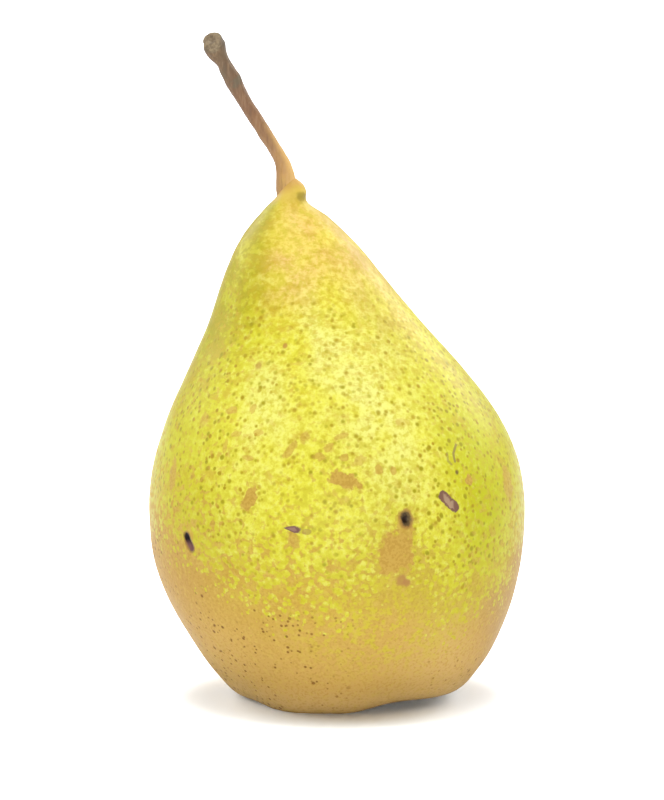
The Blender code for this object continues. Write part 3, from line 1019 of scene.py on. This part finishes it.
# %% The marks of this pear
# Rubbed and russeted patches: (turn, height, half width, half height, slant, how strong).
PATCHES = [
    (3.0, 47.1, 3.2, 1.5, -24, 0.95), (-27.6, 43.3, 1.15, 2.6, -24, 0.95),
    (17.7, 33.5, 3.6, 4.0, -10, 1.0), (-13.2, 36.0, 1.0, 1.6, 10, 0.8),
    (46.6, 45.4, 1.1, 0.9, 0, 0.95), (-14.7, 52.4, 0.8, 1.7, -30, 0.7),
    (-39.5, 58.4, 1.2, 0.75, 0, 0.7), (21.0, 38.0, 1.5, 2.3, 14, 0.8),
    (27.0, 56.8, 1.2, 0.9, 0, 0.3), (-63.0, 45.0, 1.2, 3.0, 8, 0.8),
    (68.0, 43.0, 2.0, 3.4, -10, 0.75), (8.0, 50.6, 1.6, 0.8, 20, 0.55),
    (-30.3, 59.2, 0.6, 0.9, 0, 0.6), (-26.9, 55.1, 0.9, 0.6, 0, 0.6),
    (-35.7, 54.4, 1.0, 0.55, 10, 0.6), (-39.3, 52.1, 0.55, 1.2, 0, 0.6),
    (-29.4, 50.5, 1.3, 0.5, -8, 0.6), (-52.3, 56.0, 1.2, 1.3, 0, 0.45),
    (-9.5, 54.7, 0.9, 0.8, 0, 0.6), (-2.0, 52.8, 1.1, 0.9, 20, 0.7),
    (-5.0, 51.4, 1.1, 0.8, -10, 0.7), (3.0, 51.2, 0.8, 0.6, 0, 0.7),
    (14.0, 48.9, 0.7, 1.0, 20, 0.75), (18.8, 48.6, 0.6, 0.7, 0, 0.75),
    (2.7, 54.9, 1.3, 0.5, 12, 0.6),
    (120.0, 52.0, 2.2, 3.0, 20, 0.8), (-165.0, 55.0, 3.0, 1.4, -15, 0.8),
    (-105.0, 60.0, 1.2, 2.4, 10, 0.7), (172.0, 66.0, 1.8, 1.1, 0, 0.6),
]
rub = f.blend(ease(0.44, 0.60, grit), paint(214, 174, 84), paint(202, 160, 74))
ragged = (small - 0.5) * 1.3 + (grainy - 0.5) * 1.5
for turn_at, height_at, wide, tall, slant, strength in PATCHES:
    mark = Mark(turn_at, height_at)
    shape = mark.oval(here, wide, tall, slant) + ragged
    colour = f.coat(colour, (ease(1.20, 0.85, shape) * mark.near(here) * strength, rub))
print("patches:", len(PATCHES))

# %% Hole and pit
wobble = (fine - 0.5) * 0.9 + (grit - 0.5) * 0.5
hole = HOLE.oval(here, 1.0, 1.35, 12.0) + wobble * 0.8
near_hole = HOLE.near(here)
pit = PIT.stroke(here, PIT_LINE) + wobble * 0.3
near_pit = PIT.near(here)
pit_up = ease(-0.9, 0.5, PIT.flat(here)[1])
colour = f.coat(
    colour,
    (ease(1.75, 1.2, hole) * near_hole * 0.8, (176, 128, 74)),
    (ease(1.25, 0.80, hole) * near_hole, (112, 92, 62)),
    (ease(0.90, 0.35, hole + ragged * 0.6) * near_hole * 0.95, (58, 46, 40)),
    (ease(1.30, 0.90, pit) * near_pit * 0.7, (160, 116, 78)),
    (ease(0.95, 0.55, pit) * near_pit, f.blend(pit_up, paint(136, 98, 92), paint(46, 38, 34))),
)
print("hole and pit painted")

# %% Scar and nicks
scar = SCAR.stroke(here, SCAR_LINE) + wobble * 0.75 + ragged * 0.25
near_scar = SCAR.near(here)
across, up = SCAR.flat(here)
upper_end = root((across + 1.05) ** 2 + (up - 0.85) ** 2)
lower_end = root((across - 1.05) ** 2 + (up + 1.20) ** 2)
scar_edge = lesser(scar, lesser(upper_end, lower_end) + wobble * 0.5)
scar_middle = ease(1.3, 0.7, abs(across - 0.05))

near_nick = NICK.near(here)
u, v = NICK.flat(here)
nick = root(((u + 0.2) / 1.75) ** 2 + ((v + 0.10 * u) / (0.62 + 0.26 * u)) ** 2) + wobble * 0.6
nick_share = ease(1.15, 0.80, nick) * ease(-2.2, -1.6, u) * ease(2.2, 1.6, u)
nick_share = nick_share * ease(1.3, 0.9, abs(v)) * near_nick
side_nick = Mark(-9.2, 37.7).oval(here, 0.95, 0.62, 10.0) + wobble
colour = f.coat(
    colour,
    (ease(1.15, 0.90, scar_edge) * near_scar, (140, 104, 88)),
    (ease(0.80, 0.40, scar + ragged * 0.3) * scar_middle * near_scar, (188, 156, 126)),
    (nick_share, (136, 100, 90)),
    (ease(0.70, 0.35, nick + ragged * 0.3) * nick_share, (166, 130, 112)),
    (ease(1.1, 0.8, side_nick) * near_nick * 0.55, (160, 118, 80)),
)
print("scar and nicks painted")

# %% Scratches and spots
# Spots: (turn, height, half width, colour).
SPOTS = [
    (42.1, 47.2, 0.42, (120, 98, 66)), (-16.5, 70.4, 0.50, (196, 140, 78)),
    (-29.9, 66.7, 0.75, (202, 166, 86)), (19.6, 28.2, 1.1, (190, 138, 84)),
    (21.5, 27.6, 0.7, (188, 134, 84)), (25.1, 56.9, 0.6, (222, 196, 98)),
    (160.0, 40.0, 0.6, (120, 90, 60)), (-98.0, 50.0, 0.5, (130, 96, 62)),
]
for line, strength in ((SCRATCH_LINE, 0.75), (TWIG_LINE, 0.5)):
    scratch = SCRATCH.stroke(here, line) + wobble * 0.2
    share = ease(0.38, 0.16, scratch) * SCRATCH.near(here) * strength
    colour = f.coat(colour, (share, (150, 122, 84)))
for turn_at, height_at, size, shade in SPOTS:
    mark = Mark(turn_at, height_at)
    spot = mark.oval(here, size, size * 1.15) + ragged * 0.5
    colour = f.coat(colour, (ease(1.3, 0.5, spot) * mark.near(here) * 0.8, shade))
print("spots:", len(SPOTS))

# %% Hole and scar of the back
back = BACK_HOLE.oval(here, 1.1, 1.0) + wobble
near_back = BACK_HOLE.near(here)
seam = BACK_SCAR.stroke(here, BACK_SCAR_LINE) + wobble * 0.3
near_seam = BACK_SCAR.near(here)
colour = f.coat(
    colour,
    (ease(1.7, 1.1, back) * near_back * 0.8, (176, 128, 74)),
    (ease(1.0, 0.5, back) * near_back, (58, 46, 36)),
    (ease(0.8, 0.6, seam) * near_seam, (118, 84, 62)),
    (ease(0.5, 0.3, seam) * near_seam, (176, 142, 110)),
)
print("back painted")

# %% Foot of the stem, and how the skin feels
collar_share = f.painted("collar")
tan_neck = ease(0.05, 0.45, collar_share + (small - 0.5) * 0.5)
warm_neck = ease(0.45, 0.9, collar_share + (small - 0.5) * 0.4)
# Painted shade in the notch beside the knob, on its right and at the front.
notch_shade = root((x + 6.6) ** 2 + (z - 96.3) ** 2) + (small - 0.5) * 1.5
colour = f.coat(
    colour,
    (tan_neck * 0.75, (230, 196, 96)),
    (warm_neck * 0.9, (216, 168, 98)),
    (ease(1.3, 0.5, notch_shade) * ease(1.0, 0.0, y) * 0.6, (150, 130, 58)),
)
f.put("Base Color", colour)
f.put("Roughness", 0.40 + 0.14 * russet + 0.06 * (small - 0.5))
tiny = f.noise(here, 0.28, 2.0, 0.6)
surface = (medium - 0.5) * 0.05 + (fine - 0.5) * (0.010 + 0.05 * russet)
surface = surface + halo_total * above_russet * 0.02 - eye * 0.02 - pores * pore_zone * 0.04
f.relief(surface + (tiny - 0.5) * (0.006 + 0.012 * russet))
fruit.data.materials.append(f.material)
print("skin finish has", len(f.tree.nodes), "nodes")

# %% [markdown]
# ## The finish of the stem and the calyx
#
# The stem is orange-tan and smooth where it leaves the flesh and turns grey-brown and cracked towards
# the tip, with fine lines that run along it. The broken end shows paler dry wood. The calyx is dead
# leaf: dark brown, paler at the rims.

# %% Wood
# Colours along the stem, from its foot to its tip: (share of the way, colour).
BARK_COLOURS = [
    (0.00, (220, 176, 92)), (0.14, (208, 158, 86)), (0.30, (170, 124, 76)),
    (0.52, (144, 100, 64)), (0.72, (124, 92, 62)), (1.00, (112, 92, 62)),
]
g = Finish("pear_stem_bark", Roughness=0.7, IOR=1.45)
there = g.place()
along_stem = g.axes(there)[2]
lines = g.noise(there, 0.45, 3.0, 0.6, (1.0, 1.0, 0.10))
blotch = g.noise(there, 2.6, 3.0, 0.6)
speck = g.noise(there, 0.8, 2.0, 0.6)
stem_range = {"Value": along_stem, "From Min": 96.0, "From Max": STEM_TOP}
way_up = g.node("ShaderNodeMapRange", {}, stem_range)[0] + (blotch - 0.5) * 0.22
stops = [(share, paint(*shade)) for share, shade in BARK_COLOURS]
low_part = ease(113.0, 102.0, along_stem)
lit_side = g.painted("right")
rim = ease(123.6, 125.2, along_stem + (blotch - 0.5) * 2.0)
bark_colour = g.coat(
    g.node("ShaderNodeValToRGB", {"stops": stops}, [way_up])[0],
    (ease(0.50, 0.72, lines) * 0.40, (98, 72, 50)),
    (ease(0.52, 0.34, lines) * 0.22, (196, 160, 122)),
    (ease(0.52, 0.68, blotch) * ease(108.0, 118.0, along_stem) * 0.6, (108, 100, 76)),
    # painted shade on the left of the lower stem and painted light on its right
    (ease(0.0, -0.9, lit_side) * (0.40 + 0.35 * low_part),
     g.blend(low_part, paint(122, 88, 56), paint(172, 126, 76))),
    (ease(0.0, 0.8, lit_side) * low_part * 0.8, (238, 190, 108)),
    (rim * 0.6, (92, 76, 54)),
    (g.painted("broken"),
     g.blend(ease(0.35, 0.65, speck), paint(116, 96, 68), paint(154, 133, 100))),
)
g.put("Base Color", bark_colour)
g.put("Roughness", 0.62 + 0.18 * speck)
g.relief((lines - 0.5) * 0.10 + (speck - 0.5) * 0.05)
stem.data.materials.append(g.material)
print("stem finish has", len(g.tree.nodes), "nodes")

# %% Dry leaf
h = Finish("dried_calyx", Roughness=0.85)
veins = h.noise(h.place(), 0.9, 3.0, 0.65)
h.put("Base Color", h.blend(ease(0.35, 0.7, veins), paint(58, 40, 28), paint(128, 92, 60)))
h.relief(veins * 0.15, 0.8)
for piece in (sepals, stamens):
    piece.data.materials.append(h.material)
print("calyx finish has", len(h.tree.nodes), "nodes")

# %% [markdown]
# ## The table and the light
#
# The pear stands on a plain white sheet. A studio would hang wide lamps round it, and so does this one:
# two overhead, two on either side and a little behind, which lift the flanks and clear the sheet of
# side shadows, and one low in front for the face of the fruit. All are large and far away, so the
# sheet is lit evenly and only a short soft shadow lies round the foot. A long lens from a little above
# the pear keeps its outline undistorted.

# %% Table
HALF_SHEET = 8.0    # metres, far beyond what the lens sees
corners = [(-HALF_SHEET, -HALF_SHEET, 0), (HALF_SHEET, -HALF_SHEET, 0),
           (HALF_SHEET, HALF_SHEET, 0), (-HALF_SHEET, HALF_SHEET, 0)]
floor_mesh = bpy.data.meshes.new("table_sheet")
floor_mesh.from_pydata(corners, [], [(0, 1, 2, 3)])
table = into_scene("table_sheet", floor_mesh)
white = Finish("white_sheet", Roughness=0.9, Specular_IOR_Level=0.0)
white.put("Base Color", (0.91, 0.945, 0.98, 1.0))
table.data.materials.append(white.material)
print("table of", 2 * HALF_SHEET, "m")

# %% Light
# Lamps: (name, the way its light goes, how wide it looks in degrees, strength).
LAMPS = [
    ("top_panel", (0.0, 0.0, -1.0), 50.0, 2.2),
    ("top_lamp", (0.03, -0.10, -1.0), 30.0, 3.2),
    ("left_side_panel", (0.78, -0.38, -0.50), 45.0, 2.3),
    ("right_side_panel", (-0.78, -0.38, -0.50), 45.0, 2.3),
    ("left_back_panel", (0.52, -0.78, -0.42), 30.0, 0.9),
    ("right_back_panel", (-0.52, -0.78, -0.42), 30.0, 1.2),
    ("front_panel", (0.0, 1.0, -0.05), 26.0, 4.4),
]
world = bpy.data.worlds.new("white_card")
bpy.context.scene.world = world
world.use_nodes = True
sky = world.node_tree.nodes["Background"]
sky.inputs["Color"].default_value = (1.0, 1.0, 1.0, 1.0)
sky.inputs["Strength"].default_value = 0.11
for name, way, width, strength in LAMPS:
    lamp_data = bpy.data.lights.new(name, "SUN")
    lamp_data.angle = math.radians(width)
    lamp_data.energy = strength
    lamp = into_scene(name, lamp_data)
    lamp.rotation_euler = Vector(way).to_track_quat("-Z", "Y").to_euler()
bpy.context.scene.view_settings.view_transform = "Standard"
print("lamps:", len(LAMPS))

# %% Camera
DISTANCE = 1.1
ELEVATION = math.radians(8.8)
FRAME_TALL = 152.79     # millimetres seen from the top of the frame to its foot
aim = Vector((-0.95 * MM, 0.0, 57.0 * MM))
back = Vector((0.0, -math.cos(ELEVATION), math.sin(ELEVATION)))
camera_data = bpy.data.cameras.new("camera")
camera_data.sensor_width = 36.0
camera_data.lens = camera_data.sensor_width * DISTANCE / (FRAME_TALL * MM)
camera_data.clip_start = 0.05
camera_data.clip_end = 20.0
camera = into_scene("camera", camera_data)
camera.location = aim + back * DISTANCE
camera.rotation_euler = (-back).to_track_quat("-Z", "Y").to_euler()
bpy.context.scene.camera = camera
print("lens", round(camera_data.lens, 1), "mm at", DISTANCE, "m")

# %% [markdown]
# ## Tying the pieces to the solid
#
# Every piece is tied to the solid pear: it rides on its body and stands in for a solid, which is hidden.

# %% Ties
for piece, node, slot in (
    (fruit, "fruit", "pear_skin"), (stem, "stem", "pear_stem"),
    (sepals, "calyx", "dried_calyx"), (stamens, "calyx", "dried_calyx"),
):
    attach(piece, "root")
    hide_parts(node)
bpy.context.view_layer.update()
